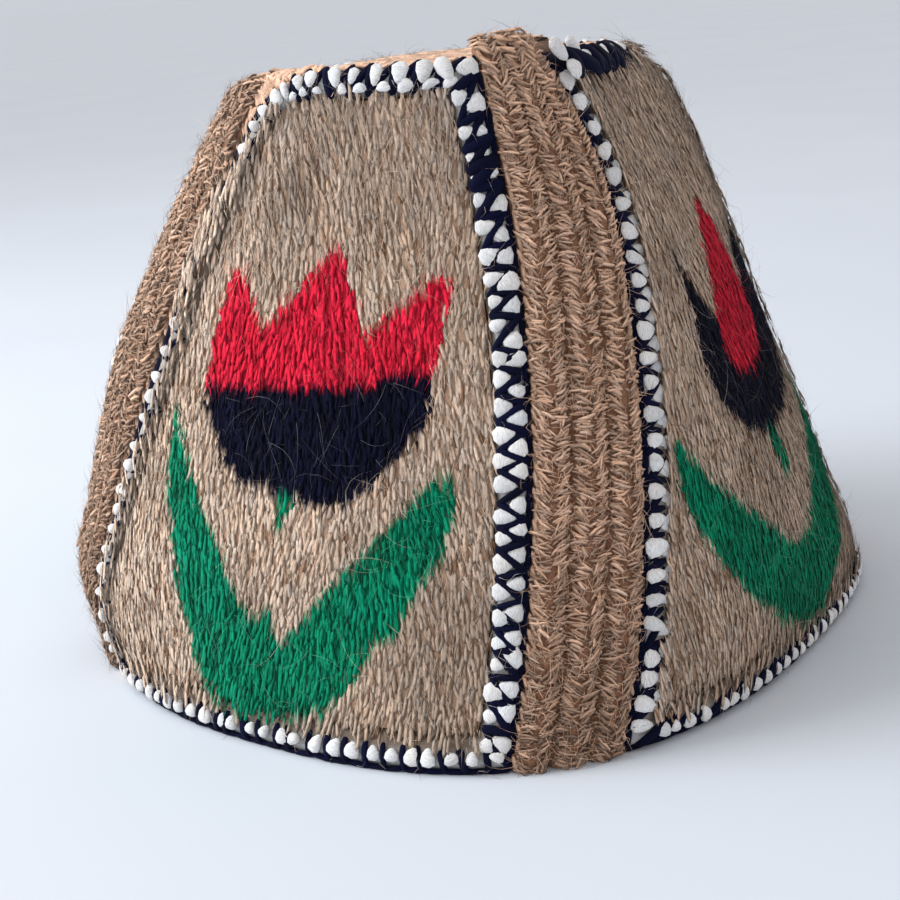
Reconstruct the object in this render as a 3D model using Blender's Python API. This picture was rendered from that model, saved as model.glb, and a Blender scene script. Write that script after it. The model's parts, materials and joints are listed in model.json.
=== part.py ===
"""A hand-worked wool hat of four wide panels, each framed by a whipped edging, joined by four ribbed bands.

Every piece is drawn flat, as a pattern of shares across and up, and then wrapped on the hat's form.
Metres, +Z up, with the origin under the middle of the hat, on the surface it stands on.
"""
from collections import namedtuple
from functools import lru_cache
import math

import bmesh
import bpy
import numpy as np

# Driving dimensions
HAT_HEIGHT = 0.143
HALF_WIDTH = 0.096
HALF_DEPTH = 0.092
BAND_WIDTH = 0.0247
EDGING_WIDTH = 0.0080
PANEL_WALL = 0.0040
EDGING_WALL = 0.0055
BAND_WALL = 0.0045
CROWN_WALL = 0.0040
EDGING_RISE = 0.0010
RIB_RISE = 0.0014
CROWN_DOME = 0.0025
JOIN_GAP = 0.0003

# The form's turn from rim to top, and the directions of its corners, in degrees from the front or the
# back, where the corner left of the front panel has its own and swings further out at its foot
TOP_TURN = 13.0
CORNER_AT_RIM = 43.6
CORNER_AT_TOP = 48.7
LEFT_CORNER_AT_RIM = 40.4
LEFT_CORNER_AT_TOP = 43.8
LEFT_CORNER_FOOT = 5.0
FOOT_REACH = 0.08

# The bands' ribs
RIBS = 3
STEPS_PER_RIB = 4

# How finely the pieces are divided, with the same rows up every piece of the wall, and closer rows
# where the rim curls in
PANEL_STEPS_ACROSS = 12
EDGING_STEPS_ACROSS = 10
EDGING_SIDES = 8
STEPS_UP = 16
RIM_CLOSENESS = 1.3
CROWN_STEPS = 12
OUTLINE_STEPS = 360

# The form, section by section: height as a share of HAT_HEIGHT, reach to the left and right as shares
# of HALF_WIDTH, reach to the front and back as shares of HALF_DEPTH, and how square the section is,
# where 2 is an ellipse
Section = namedtuple("Section", "height left right front back squareness")
SECTIONS = (
    Section(0.00, 0.86, 1.00, 1.02, 1.12, 2.5),
    Section(0.10, 1.04, 1.00, 0.96, 0.98, 2.6),
    Section(0.30, 0.98, 0.93, 0.88, 0.85, 2.7),
    Section(0.50, 0.82, 0.83, 0.79, 0.75, 2.8),
    Section(0.75, 0.64, 0.68, 0.67, 0.66, 2.9),
    Section(1.00, 0.37, 0.51, 0.62, 0.66, 3.0),
)

# Soft swells and dents of the hand-made form: direction and height share of the middle, reach in degrees
# and height shares, and how far the form is pushed out there, in metres
Swell = namedtuple("Swell", "direction height reach reach_up push")
SWELLS = (
    Swell(-51.0, 0.00, 13.0, 0.05, 0.0053),
    Swell(-58.0, 0.10, 24.0, 0.09, -0.0028),
    Swell(-58.0, 0.27, 26.0, 0.13, -0.0023),
    Swell(-60.0, 0.55, 26.0, 0.12, 0.0027),
    Swell(128.0, 0.28, 26.0, 0.16, 0.0015),
    Swell(128.0, 0.10, 24.0, 0.08, 0.0028),
)

# Colour and roughness of each finish
Finish = namedtuple("Finish", "name colour roughness")
PANEL_WOOL = Finish("panel wool", (0.38, 0.24, 0.15), 0.95)
BAND_WOOL = Finish("band wool", (0.30, 0.17, 0.09), 0.95)
EDGING_YARN = Finish("edging yarn", (0.03, 0.04, 0.08), 0.90)

# The pieces run round the hat from the front panel towards +X
SIDES = 4


def row_value(column, height):
    """The value of a column at a height share, on a smooth curve through every row of the table."""
    heights = np.array([row.height for row in SECTIONS])
    values = np.array([getattr(row, column) for row in SECTIONS])
    slopes = np.gradient(values, heights)
    low = int(np.clip(np.searchsorted(heights, height) - 1, 0, len(heights) - 2))
    span = heights[low + 1] - heights[low]
    t = (height - heights[low]) / span
    start = (1 + 2 * t) * (1 - t) ** 2 * values[low] + t * (1 - t) ** 2 * span * slopes[low]
    end = t * t * (3 - 2 * t) * values[low + 1] + t * t * (t - 1) * span * slopes[low + 1]
    return start + end


def outward(points):
    """The outward normals of a closed outline whose last point is its first again."""
    ahead = np.roll(points[:-1], -1, axis=0) - np.roll(points[:-1], 1, axis=0)
    ahead /= np.linalg.norm(ahead, axis=1)[:, None]
    normals = np.stack([ahead[:, 1], -ahead[:, 0]], axis=1)
    return np.vstack([normals, normals[:1]])


def swell_at(turn, height):
    """How far the swells push the form out, at directions and a height share."""
    push = np.zeros(len(turn))
    for swell in SWELLS:
        aside = (np.degrees(turn) - swell.direction + 180) % 360 - 180
        above = (height - swell.height) / swell.reach_up
        push += swell.push * np.exp(-((aside / swell.reach) ** 2) - above**2)
    return push


@lru_cache(maxsize=None)
def section_at(height):
    """The outer outline at a height share: points, outward normals and running length, from the back
    round by the left, front and right."""
    turn = np.linspace(-math.pi, math.pi, OUTLINE_STEPS + 1)
    power = row_value("squareness", height)
    left, right = (row_value(side, height) * HALF_WIDTH for side in ("left", "right"))
    front, back = (row_value(side, height) * HALF_DEPTH for side in ("front", "back"))
    reach = (np.abs(np.sin(turn)) ** power + np.abs(np.cos(turn)) ** power) ** (-1 / power)
    x = (left + right) / 2 * reach * np.sin(turn)
    y = -(front + back) / 2 * reach * np.cos(turn)
    twist = math.radians(TOP_TURN) * height
    points = np.stack(
        [
            x * math.cos(twist) - y * math.sin(twist) + (right - left) / 2,
            x * math.sin(twist) + y * math.cos(twist) + (back - front) / 2,
        ],
        axis=1,
    )
    points = points + outward(points) * swell_at(turn, height)[:, None]
    normals = outward(points)
    steps = np.linalg.norm(np.diff(points, axis=0), axis=1)
    length = np.concatenate([[0.0], np.cumsum(steps)])
    return turn, points, normals, length


def corner_length(corner, height):
    """How far along the outline a corner lies. Corner 0 is left of the front panel, corner 1 right of
    it, and each whole turn adds the outline's whole length."""
    turn, _, _, length = section_at(height)
    swing = math.radians(CORNER_AT_RIM + (CORNER_AT_TOP - CORNER_AT_RIM) * height)
    foot = LEFT_CORNER_FOOT * math.exp(-((height / FOOT_REACH) ** 2))
    left_swing = math.radians(LEFT_CORNER_AT_RIM + (LEFT_CORNER_AT_TOP - LEFT_CORNER_AT_RIM) * height + foot)
    directions = (-left_swing, swing, math.pi - swing, math.pi + swing)
    laps, place = divmod(corner, SIDES)
    direction = directions[place] + laps * 2 * math.pi
    rounds, rest = divmod(direction + math.pi, 2 * math.pi)
    return rounds * length[-1] + float(np.interp(rest - math.pi, turn, length))


def hat_point(along, height, rise):
    """A point of the form: length along the outline, height share, and rise outward in metres."""
    _, points, normals, length = section_at(height)
    along %= length[-1]
    x, y = (float(np.interp(along, length, points[:, i])) for i in (0, 1))
    nx, ny = (float(np.interp(along, length, normals[:, i])) for i in (0, 1))
    size = math.hypot(nx, ny)
    return (x + rise * nx / size, y + rise * ny / size, height * HAT_HEIGHT)


def across(first, second, share, height, margin):
    """The length along the outline at a share, from 0 to 1, of the way between two corners, each set
    in by a margin."""
    start = corner_length(first, height) + margin
    end = corner_length(second, height) - margin
    return start + (end - start) * share


def slab(columns, rows):
    """A flat pattern of shares 0 to 1 across and up, with an outer layer at z 1 and an inner at z 0."""
    bm = bmesh.new()
    bmesh.ops.create_grid(bm, x_segments=columns, y_segments=rows, size=0.5)
    bmesh.ops.translate(bm, verts=bm.verts, vec=(0.5, 0.5, 0.0))
    outer = bmesh.ops.extrude_face_region(bm, geom=bm.faces[:], use_keep_orig=True)["geom"]
    moved = [item for item in outer if isinstance(item, bmesh.types.BMVert)]
    bmesh.ops.translate(bm, verts=moved, vec=(0.0, 0.0, 1.0))
    return bm


def wrapped(bm, place):
    """Moves every vertex of a pattern to its place on the hat."""
    for vertex in bm.verts:
        vertex.co = place(*vertex.co)
    bmesh.ops.recalc_face_normals(bm, faces=bm.faces)


def piece(name, bm, finish, collection):
    """Makes a named object with its own material from a wrapped pattern."""
    mesh = bpy.data.meshes.new(name)
    bm.to_mesh(mesh)
    bm.free()
    mesh.shade_smooth()
    mesh.set_sharp_from_angle(angle=math.radians(40))
    material = bpy.data.materials.new(name + " " + finish.name)
    material.use_nodes = True
    shader = material.node_tree.nodes["Principled BSDF"]
    shader.inputs["Base Color"].default_value = (*finish.colour, 1.0)
    shader.inputs["Roughness"].default_value = finish.roughness
    shader.inputs["Metallic"].default_value = 0.0
    mesh.materials.append(material)
    item = bpy.data.objects.new(name, mesh)
    collection.objects.link(item)
    return item


def panel(side, collection):
    """A wide knitted panel inside its edging."""
    margin = BAND_WIDTH / 2 + EDGING_WIDTH + 2 * JOIN_GAP
    low = (EDGING_WIDTH + JOIN_GAP) / HAT_HEIGHT

    def place(u, v, layer):
        height = low + (1 - 2 * low) * v**RIM_CLOSENESS
        along = across(side, side + 1, u, height, margin)
        return hat_point(along, height, (layer - 1) * PANEL_WALL)

    bm = slab(PANEL_STEPS_ACROSS, STEPS_UP)
    wrapped(bm, place)
    return piece(f"panel_{side + 1}", bm, PANEL_WOOL, collection)


def band(side, collection):
    """A ribbed band over the corner after a panel, from the rim to the top."""

    def place(u, v, layer):
        crest = abs(math.sin(math.pi * RIBS * u))
        height = v**RIM_CLOSENESS
        along = corner_length(side + 1, height) + (u - 0.5) * BAND_WIDTH
        return hat_point(along, height, layer * (BAND_WALL + RIB_RISE * crest) - BAND_WALL)

    bm = slab(RIBS * STEPS_PER_RIB, STEPS_UP)
    wrapped(bm, place)
    return piece(f"band_{side + 1}", bm, BAND_WOOL, collection)


def frame_corners():
    """The steps round a frame, as shares across and up of its four sides, from the lower left."""
    flat = [i / EDGING_STEPS_ACROSS for i in range(EDGING_STEPS_ACROSS)]
    tall = [i / STEPS_UP for i in range(STEPS_UP)]
    lower = [(u, 0.0) for u in flat]
    right = [(1.0, v) for v in tall]
    upper = [(1.0 - u, 1.0) for u in flat]
    left = [(0.0, 1.0 - v) for v in tall]
    return lower + right + upper + left


def edging(side, collection):
    """The whipped edging that frames a panel on all four sides, with mitred corners."""
    steps = frame_corners()
    flat = math.cos(math.pi / EDGING_SIDES)
    bpy.ops.mesh.primitive_torus_add(major_segments=len(steps), minor_segments=EDGING_SIDES)
    ring = bpy.context.object
    bm = bmesh.new()
    bm.from_mesh(ring.data)
    bpy.data.objects.remove(ring)
    bm.verts.ensure_lookup_table()
    for index, vertex in enumerate(bm.verts):
        u, v = steps[index // EDGING_SIDES]
        angle = 2 * math.pi * (index % EDGING_SIDES + 0.5) / EDGING_SIDES
        inset = EDGING_WIDTH * (1 - math.cos(angle) / flat) / 2
        sink = EDGING_WALL * (1 - math.sin(angle) / flat) / 2
        low = inset / HAT_HEIGHT
        height = low + (1 - 2 * low) * v**RIM_CLOSENESS
        along = across(side, side + 1, u, height, BAND_WIDTH / 2 + JOIN_GAP + inset)
        vertex.co = hat_point(along, height, EDGING_RISE - sink)
    return piece(f"edging_{side + 1}", bm, EDGING_YARN, collection)


def crown(collection):
    """The slightly domed piece that closes the top, inside the ends of the walls."""
    inset = max(EDGING_WALL - EDGING_RISE, BAND_WALL) + JOIN_GAP

    def place(u, v, layer):
        x, y = 2 * u - 1, 2 * v - 1
        disc_x, disc_y = x * math.sqrt(1 - y * y / 2), y * math.sqrt(1 - x * x / 2)
        radius = min(math.hypot(disc_x, disc_y), 1.0)
        height = 1 + (layer - 1) * CROWN_WALL / HAT_HEIGHT
        turn, _, _, length = section_at(height)
        along = float(np.interp(math.atan2(disc_x, -disc_y), turn, length))
        edge_x, edge_y, edge_z = hat_point(along, height, -inset)
        middle_x, middle_y = section_at(height)[1][:-1].mean(axis=0)
        lift = CROWN_DOME * (1 - radius * radius)
        return (
            middle_x + (edge_x - middle_x) * radius,
            middle_y + (edge_y - middle_y) * radius,
            edge_z + lift,
        )

    bm = slab(CROWN_STEPS, CROWN_STEPS)
    wrapped(bm, place)
    return piece("crown_top", bm, BAND_WOOL, collection)


def centre_over_origin(items):
    """Shifts all pieces together, so that the middle of their box lies over the origin."""
    corners = np.array([vertex.co[:] for item in items for vertex in item.data.vertices])
    middle = (corners.min(axis=0) + corners.max(axis=0)) / 2
    for item in items:
        for vertex in item.data.vertices:
            vertex.co.x -= middle[0]
            vertex.co.y -= middle[1]


def main():
    for item in list(bpy.data.objects):
        bpy.data.objects.remove(item)
    collection = bpy.data.collections.new("wool_hat")
    bpy.context.scene.collection.children.link(collection)
    items = [crown(collection)]
    for side in range(SIDES):
        items += [panel(side, collection), edging(side, collection), band(side, collection)]
    centre_over_origin(items)


main()
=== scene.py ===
"""Dresses the wool hat: brushed strands with folk tulips, whipped navy and white edging, ribbed bands."""
from collections import namedtuple
import json
import math

import bmesh
import bpy
from bpy.props import FloatProperty, FloatVectorProperty, IntProperty, PointerProperty
from mathutils import Matrix, Vector
import numpy as np


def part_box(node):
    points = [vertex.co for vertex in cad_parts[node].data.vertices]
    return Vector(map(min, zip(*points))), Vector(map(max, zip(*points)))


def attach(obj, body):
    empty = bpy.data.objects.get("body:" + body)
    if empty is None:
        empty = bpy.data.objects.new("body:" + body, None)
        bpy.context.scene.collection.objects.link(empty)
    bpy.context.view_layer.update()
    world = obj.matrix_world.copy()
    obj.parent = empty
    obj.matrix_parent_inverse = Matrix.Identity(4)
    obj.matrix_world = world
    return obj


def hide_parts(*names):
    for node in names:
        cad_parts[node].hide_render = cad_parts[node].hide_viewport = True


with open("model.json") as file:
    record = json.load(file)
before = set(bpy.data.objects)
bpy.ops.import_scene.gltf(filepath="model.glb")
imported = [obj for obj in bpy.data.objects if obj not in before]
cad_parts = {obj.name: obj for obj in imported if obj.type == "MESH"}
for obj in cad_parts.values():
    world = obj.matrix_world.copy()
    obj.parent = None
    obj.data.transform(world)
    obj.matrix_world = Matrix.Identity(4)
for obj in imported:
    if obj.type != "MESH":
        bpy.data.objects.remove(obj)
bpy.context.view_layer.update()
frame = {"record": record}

bl_info = {
    "name": "Wool hat",
    "version": (1, 0, 0),
    "blender": (4, 5, 0),
    "location": "View3D > Sidebar > Wool hat",
    "description": "Models the yarn, edging and ribs of a hand-worked wool hat around its frame",
    "category": "Object",
}

# The form of the hat, in metres: the same sizes and sections that its frame was made from
HAT_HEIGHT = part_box("edging_1")[1].z
HALF_WIDTH = 0.096
HALF_DEPTH = 0.092
BAND_WIDTH = 0.0247
EDGING_WIDTH = 0.0080
PANEL_WALL = 0.0040
EDGING_WALL = 0.0055
BAND_WALL = 0.0045
CROWN_WALL = 0.0040
EDGING_RISE = 0.0010
RIB_RISE = 0.0014
CROWN_DOME = 0.0025
JOIN_GAP = 0.0003
TOP_TURN = 13.0
CORNER_AT_RIM = 43.6
CORNER_AT_TOP = 48.7
LEFT_CORNER_AT_RIM = 40.4
LEFT_CORNER_AT_TOP = 43.8
LEFT_CORNER_FOOT = 5.0
FOOT_REACH = 0.08
RIBS = 3
SIDES = 4

Section = namedtuple("Section", "height left right front back squareness")
SECTIONS = (
    Section(0.00, 0.86, 1.00, 1.02, 1.12, 2.5),
    Section(0.10, 1.04, 1.00, 0.96, 0.98, 2.6),
    Section(0.30, 0.98, 0.93, 0.88, 0.85, 2.7),
    Section(0.50, 0.82, 0.83, 0.79, 0.75, 2.8),
    Section(0.75, 0.64, 0.68, 0.67, 0.66, 2.9),
    Section(1.00, 0.37, 0.51, 0.62, 0.66, 3.0),
)

# Swells and dents of the hand-made form: middle in degrees and height share, reaches, push in metres
Swell = namedtuple("Swell", "direction height reach reach_up push")
SWELLS = (
    Swell(-51.0, 0.00, 13.0, 0.05, 0.0053),
    Swell(-58.0, 0.10, 24.0, 0.09, -0.0028),
    Swell(-58.0, 0.27, 26.0, 0.13, -0.0023),
    Swell(-60.0, 0.55, 26.0, 0.12, 0.0027),
    Swell(128.0, 0.28, 26.0, 0.16, 0.0015),
    Swell(128.0, 0.10, 24.0, 0.08, 0.0028),
)

# How finely the form is looked up
FORM_ROWS = 96
FORM_STEPS = 720
PATCH_ROWS = 128
PATCH_STEPS = 64
PATCH_REACH = 0.156

# Where panels and bands bend over the top: heights against the frame's, at left and right, in metres
TOP_BEND = 0.0042
TOP_WRAP = 0.0048
TOP_STARTS = ((0.0, 0.0), (0.0090, -0.0122), (-0.0042, -0.0042), (-0.0042, -0.0042))
BAND_STARTS = ((0.0022, 0.0048), (-0.0090, -0.0042), (-0.0042, -0.0042), (-0.0042, 0.0))
CROWN_RAISE = 0.0075

# How far the second edging crowds over the band on its left, above a height share, and its lifted corner
CROWD = 0.0085
CROWD_START = 0.78
CORNER_LIFT = 0.0030
LIFT_REACH = 0.22

# Where the wall is puffed out or drawn in: shares across and up, their reaches, and metres
Puff = namedtuple("Puff", "kind side u v reach_u reach_v height")
PUFFS = (
    Puff("panel", 1, 0.76, 0.86, 0.26, 0.28, 0.0032),
    Puff("panel", 1, 1.06, 0.50, 0.14, 1.50, -0.0030),
    Puff("band", 1, -0.05, 0.50, 0.50, 1.50, -0.0030),
    Puff("panel", 0, 0.50, 0.40, 0.30, 0.30, 0.0006),
)

# How far a panel's pile lies over its edging on each side, and the radii of the edging's corners
Overhang = namedtuple("Overhang", "left right rim top")
OVERHANGS = (
    Overhang(0.0029, 0.0002, 0.0024, 0.0012),
    Overhang(0.0028, 0.0030, 0.0024, 0.0012),
    Overhang(0.0030, 0.0010, 0.0024, 0.0012),
    Overhang(0.0028, 0.0020, 0.0024, 0.0012),
)
Fold = namedtuple("Fold", "side u v reach_u reach_v extra")
FOLDS = (
    Fold(0, 0.0, 0.76, 0.30, 0.12, 0.0052),
    Fold(1, 1.0, 0.98, 0.34, 0.30, 0.0055),
)
Corners = namedtuple("Corners", "rim_left rim_right top_right top_left")
CORNERS = (
    Corners(0.011, 0.0, 0.0, 0.014),
    Corners(0.0, 0.010, 0.014, 0.0),
    Corners(0.0, 0.0, 0.0, 0.0),
    Corners(0.0, 0.0, 0.0, 0.0),
)

# The pile over an edging: how high it rises, how far cords dip under it, and depths that hide stitches
PILE_RISE = 0.0024
PILE_RAMP = 0.0025
DIP = 0.0018
COVERED = 0.0004
WHITES_SINK = -0.0006
WHITES_HIDDEN = 0.0008

# How an edging's sides are stitched: pitch, start and slant in stitches, and widths in metres
Whites = namedtuple("Whites", "shift lane deep wide")
Line = namedtuple("Line", "pitch inset width thick")
Row = namedtuple(
    "Row", "pitch start slant far back cord outer inner line sink proud shrink taper crowd lift")
SIDE_ROW = Row(1.0, 0.25, 0.36, 0.0070, True, 0.0019, Whites(0.30, 0.37, 0.64, 0.80),
               Whites(-0.08, 0.70, 0.58, 0.74), Line(0.0044, 0.0007, 0.0015, 0.0017),
               0.0012, 0.0, 0.0, 0.0, 0.0, 0.0)
RIM_ROW = SIDE_ROW._replace(pitch=0.84, slant=0.50, far=0.0052, back=False, proud=0.0004,
                            outer=Whites(0.50, 0.42, 0.48, 0.80), inner=None)
TOP_ROW = SIDE_ROW._replace(outer=Whites(0.30, 0.42, 0.74, 0.80), inner=Whites(-0.08, 0.70, 0.36, 0.74),
                            line=None)
SPARSE_ROW = TOP_ROW._replace(pitch=1.45, start=0.60, cord=0.0030, inner=None, shrink=0.30,
                              lift=CORNER_LIFT)
TUCKED_ROW = SIDE_ROW._replace(outer=None, inner=Whites(-0.08, 0.43, 0.44, 0.62), sink=0.0, proud=0.0004,
                               line=Line(0.0034, 0.0014, 0.0024, 0.0022))
ROWS = (
    (RIM_ROW, SIDE_ROW._replace(crowd=1.0), TOP_ROW._replace(taper=0.40), TUCKED_ROW),
    (RIM_ROW, SIDE_ROW, SPARSE_ROW, SIDE_ROW),
    (RIM_ROW, SIDE_ROW, TOP_ROW, SIDE_ROW),
    (RIM_ROW, SIDE_ROW, TOP_ROW, SIDE_ROW),
)
STITCH_EDGE = 0.0010
TIGHT_AT = 0.86
TIGHT_REACH = 0.05

# Loose fibres: setting that counts them, spread, length, tilt, segments, thickness and added white; the
# white is partly painted highlight of fibres catching the light, partly paler stray fibres
Hairs = namedtuple("Hairs", "count spread length tilt segments thickness pale")
PANEL_HAIRS = (
    Hairs("short_hairs", 0.34, 0.0036, 0.07, 1, 1.5, 0.004),
    Hairs("stray_hairs", 1.20, 0.0045, 0.60, 2, 0.7, 0.12),
    Hairs("long_hairs", 1.20, 0.0110, 0.12, 5, 0.6, 0.22),
)
BAND_HAIRS = (
    Hairs("band_hairs", 1.5, 0.0038, 0.28, 2, 1.2, 0.0),
    Hairs("long_band_hairs", 1.5, 0.0080, 0.25, 5, 1.0, 0.0),
)

# Where the random draws of each kind of piece start
PANEL_SEED = 100
EDGING_SEED = 200
BAND_SEED = 300
CROWN_SEED = 400

# How the wool's colour varies over panels and bands, and where shade and light are painted into it
MOTTLE = 0.045
# Painted shade: the wall under undyed strands is a darker copy of their colour, for the shade between
# strands
UNDER_TAN_SHADE = np.array([0.78, 0.66, 0.57])
# Painted shade: undyed strands drawn darker and smaller, for the shaded hollows between tufts
GAP_SHADE_TAN = np.array([0.44, 0.31, 0.24])
# Painted shade: the wall under dyed strands is a darker copy of their dye, for the shade between strands
UNDER_DYE_SHADE = 0.50
UNDER_SINK = 0.0003
# Painted shade: the same darkening for dyed strands, and the share of strands darkened for shaded hollows
GAP_SHADE_DYE = 0.35
GAP_SHADE_SHARE = 0.11
# Patches of uneven tone that also hold painted light and shade: lighter towards the lit left of a panel,
# darker towards its right
ToneAndLight = namedtuple("ToneAndLight", "side u v reach shade")
TONES_AND_LIGHT = (
    ToneAndLight(0, 0.02, 0.35, 0.30, 1.12),
    ToneAndLight(0, 0.05, 0.75, 0.22, 1.12),
    ToneAndLight(0, 0.33, 0.83, 0.09, 0.60),
    ToneAndLight(0, 0.62, 0.86, 0.08, 0.84),
    ToneAndLight(0, 0.48, 0.32, 0.11, 1.20),
    ToneAndLight(0, 0.90, 0.14, 0.20, 0.74),
    ToneAndLight(1, 0.30, 0.15, 0.20, 0.92),
    ToneAndLight(1, 0.85, 0.20, 0.15, 0.85),
    ToneAndLight(1, 0.35, 0.80, 0.25, 1.10),
)
CLUMPS = 997
# Sizes of the strands darkened as painted shade between tufts
GAP_SHADE_SIZE = (0.55, 0.70, 0.9)
BAND_SHADES = (1.0, 0.95, 0.95, 0.66)
# Painted shade: the factor that darkens the wall under a band's strands, for the shade between them
BAND_UNDER_SHADE = (0.42, 0.33, 0.28)
# Painted shade: how much darker the bands are drawn near the rim, and how far up it reaches
FOOT_SHADE = 0.48
FOOT_SHADE_REACH = 0.24

# The chain of stitches at a band's edges, and the strands per square metre outside a rounded corner
CHAIN_PITCH = 0.0032
CHAIN_SIZE = (0.0013, 0.0048, 0.0015)
CORNER_STRANDS = 2.6e6

# The tulips, in thousandths across a panel and up the hat: a later outline lies over an earlier one
Shape = namedtuple("Shape", "dye outline")
OPEN_TULIP = (
    Shape("green", ((112, 515), (150, 405), (217, 295), (276, 200), (324, 130), (345, 75), (397, 50),
        (465, 25), (549, 30), (602, 50), (675, 85), (727, 170), (769, 190), (800, 260), (832, 300),
        (858, 380), (842, 440), (789, 410), (674, 305), (622, 260), (575, 195), (533, 155), (496, 210),
        (476, 185), (423, 215), (359, 280), (295, 340), (220, 405), (166, 460))),
    Shape("green", ((452, 400), (505, 400), (505, 365), (484, 330), (463, 365))),
    Shape("navy", ((190, 540), (651, 555), (682, 580), (788, 570), (778, 500), (747, 465), (684, 420),
        (631, 380), (558, 370), (447, 390), (368, 390), (304, 425), (261, 465), (207, 510))),
    Shape("red", ((196, 540), (176, 620), (170, 720), (202, 730), (321, 632), (472, 748), (494, 759),
        (528, 744), (607, 628), (782, 712), (822, 706), (822, 680), (788, 570), (682, 580), (651, 555))),
)
CLOSED_TULIP = (
    Shape("green", ((100, 440), (140, 405), (210, 355), (300, 305), (390, 255), (500, 185), (570, 190),
        (640, 235), (740, 310), (800, 370), (880, 440), (900, 360), (860, 250), (760, 150), (660, 90),
        (570, 45), (475, 50), (400, 85), (280, 165), (200, 235), (140, 300), (90, 380))),
    Shape("green", ((500, 380), (560, 380), (575, 300), (540, 285))),
    Shape("navy", ((250, 700), (270, 640), (290, 600), (270, 540), (290, 480), (330, 440), (450, 380),
        (550, 370), (660, 385), (770, 430), (840, 500), (860, 580), (820, 700), (720, 660), (660, 560),
        (420, 570), (340, 630))),
    Shape("red", ((570, 760), (630, 700), (660, 640), (680, 580), (680, 530), (640, 490), (560, 475),
        (460, 480), (410, 520), (430, 580), (480, 650), (520, 700))),
)


def length(name, description, default):
    return FloatProperty(name=name, description=description, default=default, unit="LENGTH")


def count(name, description, default):
    return IntProperty(name=name, description=description, default=default, min=0)


def colour(name, description, default):
    return FloatVectorProperty(name=name, description=description, default=default, subtype="COLOR")


class HatSettings(bpy.types.PropertyGroup):
    """Sizes and colours of the yarn."""

    strand_width: length("Strand width", "Width of a panel's strand of yarn", 0.00135)
    strand_length: length("Strand length", "Length of a panel's strand of yarn", 0.0050)
    strand_pitch: length("Strand pitch", "Distance between a panel's columns of strands", 0.00088)
    row_pitch: length("Row pitch", "Distance between a panel's rows of strands", 0.0031)
    rib_pitch: length("Rib row pitch", "Distance between the rows of a band's ribs", 0.00115)
    whip_pitch: length("Whip pitch", "Distance between the edging's stitches of one colour", 0.0056)
    hair_radius: length("Hair radius", "Radius of a loose fibre", 0.00005)
    short_hairs: count("Short hairs", "Short fibres on each panel", 9500)
    stray_hairs: count("Stray hairs", "Short fibres that stand off each panel", 600)
    long_hairs: count("Long hairs", "Long loose fibres on each panel", 400)
    edging_hairs: count("Edging hairs", "Loose fibres on each edging", 260)
    band_hairs: count("Band hairs", "Loose fibres on each band", 2000)
    long_band_hairs: count("Long band hairs", "Long loose fibres on each band", 250)
    tan: colour("Tan", "Undyed wool of the panels", (0.68, 0.51, 0.39))
    brown: colour("Brown", "Undyed wool of the bands", (0.78, 0.50, 0.35))
    red: colour("Red", "Dye of the petals", (0.98, 0.020, 0.062))
    navy: colour("Navy", "Dye of the cup and the edging", (0.0011, 0.0019, 0.018))
    green: colour("Green", "Dye of the leaves", (0.0, 0.27, 0.135))
    white: colour("White", "Bleached yarn of the edging", (0.74, 0.735, 0.735))


def settings():
    return bpy.context.scene.wool_hat


# The form

def row_value(column, heights):
    """Values of a column at height shares, on a smooth curve through every row of the table."""
    rows = np.array([row.height for row in SECTIONS])
    values = np.array([getattr(row, column) for row in SECTIONS])
    slopes = np.gradient(values, rows)
    low = np.clip(np.searchsorted(rows, heights) - 1, 0, len(rows) - 2)
    span = rows[low + 1] - rows[low]
    t = (heights - rows[low]) / span
    start = (1 + 2 * t) * (1 - t) ** 2 * values[low] + t * (1 - t) ** 2 * span * slopes[low]
    end = t * t * (3 - 2 * t) * values[low + 1] + t * t * (t - 1) * span * slopes[low + 1]
    return start + end


def swell_at(turn, heights):
    """How far the swells push the form out, at directions and height shares."""
    push = 0.0
    for swell in SWELLS:
        aside = (np.degrees(turn) - swell.direction + 180) % 360 - 180
        above = (heights - swell.height) / swell.reach_up
        push = push + swell.push * np.exp(-((aside / swell.reach) ** 2) - above ** 2)
    return push


def outlines():
    """The hat's outer outline at every looked-up height: directions, points and running lengths."""
    heights = np.linspace(0, 1, FORM_ROWS + 1)[:, None]
    turn = np.linspace(-math.pi, math.pi, FORM_STEPS + 1)[None, :]
    power = row_value("squareness", heights)
    left, right = (row_value(side, heights) * HALF_WIDTH for side in ("left", "right"))
    front, back = (row_value(side, heights) * HALF_DEPTH for side in ("front", "back"))
    reach = (np.abs(np.sin(turn)) ** power + np.abs(np.cos(turn)) ** power) ** (-1 / power)
    x = (left + right) / 2 * reach * np.sin(turn)
    y = -(front + back) / 2 * reach * np.cos(turn)
    twist = math.radians(TOP_TURN) * heights
    points = np.stack(
        [
            x * np.cos(twist) - y * np.sin(twist) + (right - left) / 2,
            x * np.sin(twist) + y * np.cos(twist) + (back - front) / 2,
            np.broadcast_to(heights * HAT_HEIGHT, x.shape),
        ],
        axis=2,
    )
    ahead = np.roll(points[:, :-1], -1, axis=1) - np.roll(points[:, :-1], 1, axis=1)
    ahead = np.concatenate([ahead, ahead[:, :1]], axis=1)
    outward = np.stack([ahead[..., 1], -ahead[..., 0], np.zeros(x.shape)], axis=2)
    points = points + unit(outward) * swell_at(turn, heights)[..., None]
    steps = np.linalg.norm(np.diff(points, axis=1), axis=2)
    lengths = np.concatenate([np.zeros((len(heights), 1)), np.cumsum(steps, axis=1)], axis=1)
    return turn[0], points, lengths


def unit(vectors):
    return vectors / np.linalg.norm(vectors, axis=-1, keepdims=True)


def grid_directions(points):
    """Directions across, up and out at every point of a grid of places on the wall."""
    across = unit(np.gradient(points, axis=1))
    up = unit(np.gradient(points, axis=0))
    return across, up, unit(np.cross(across, up))


TURN, OUTLINE, LENGTHS = outlines()


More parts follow.
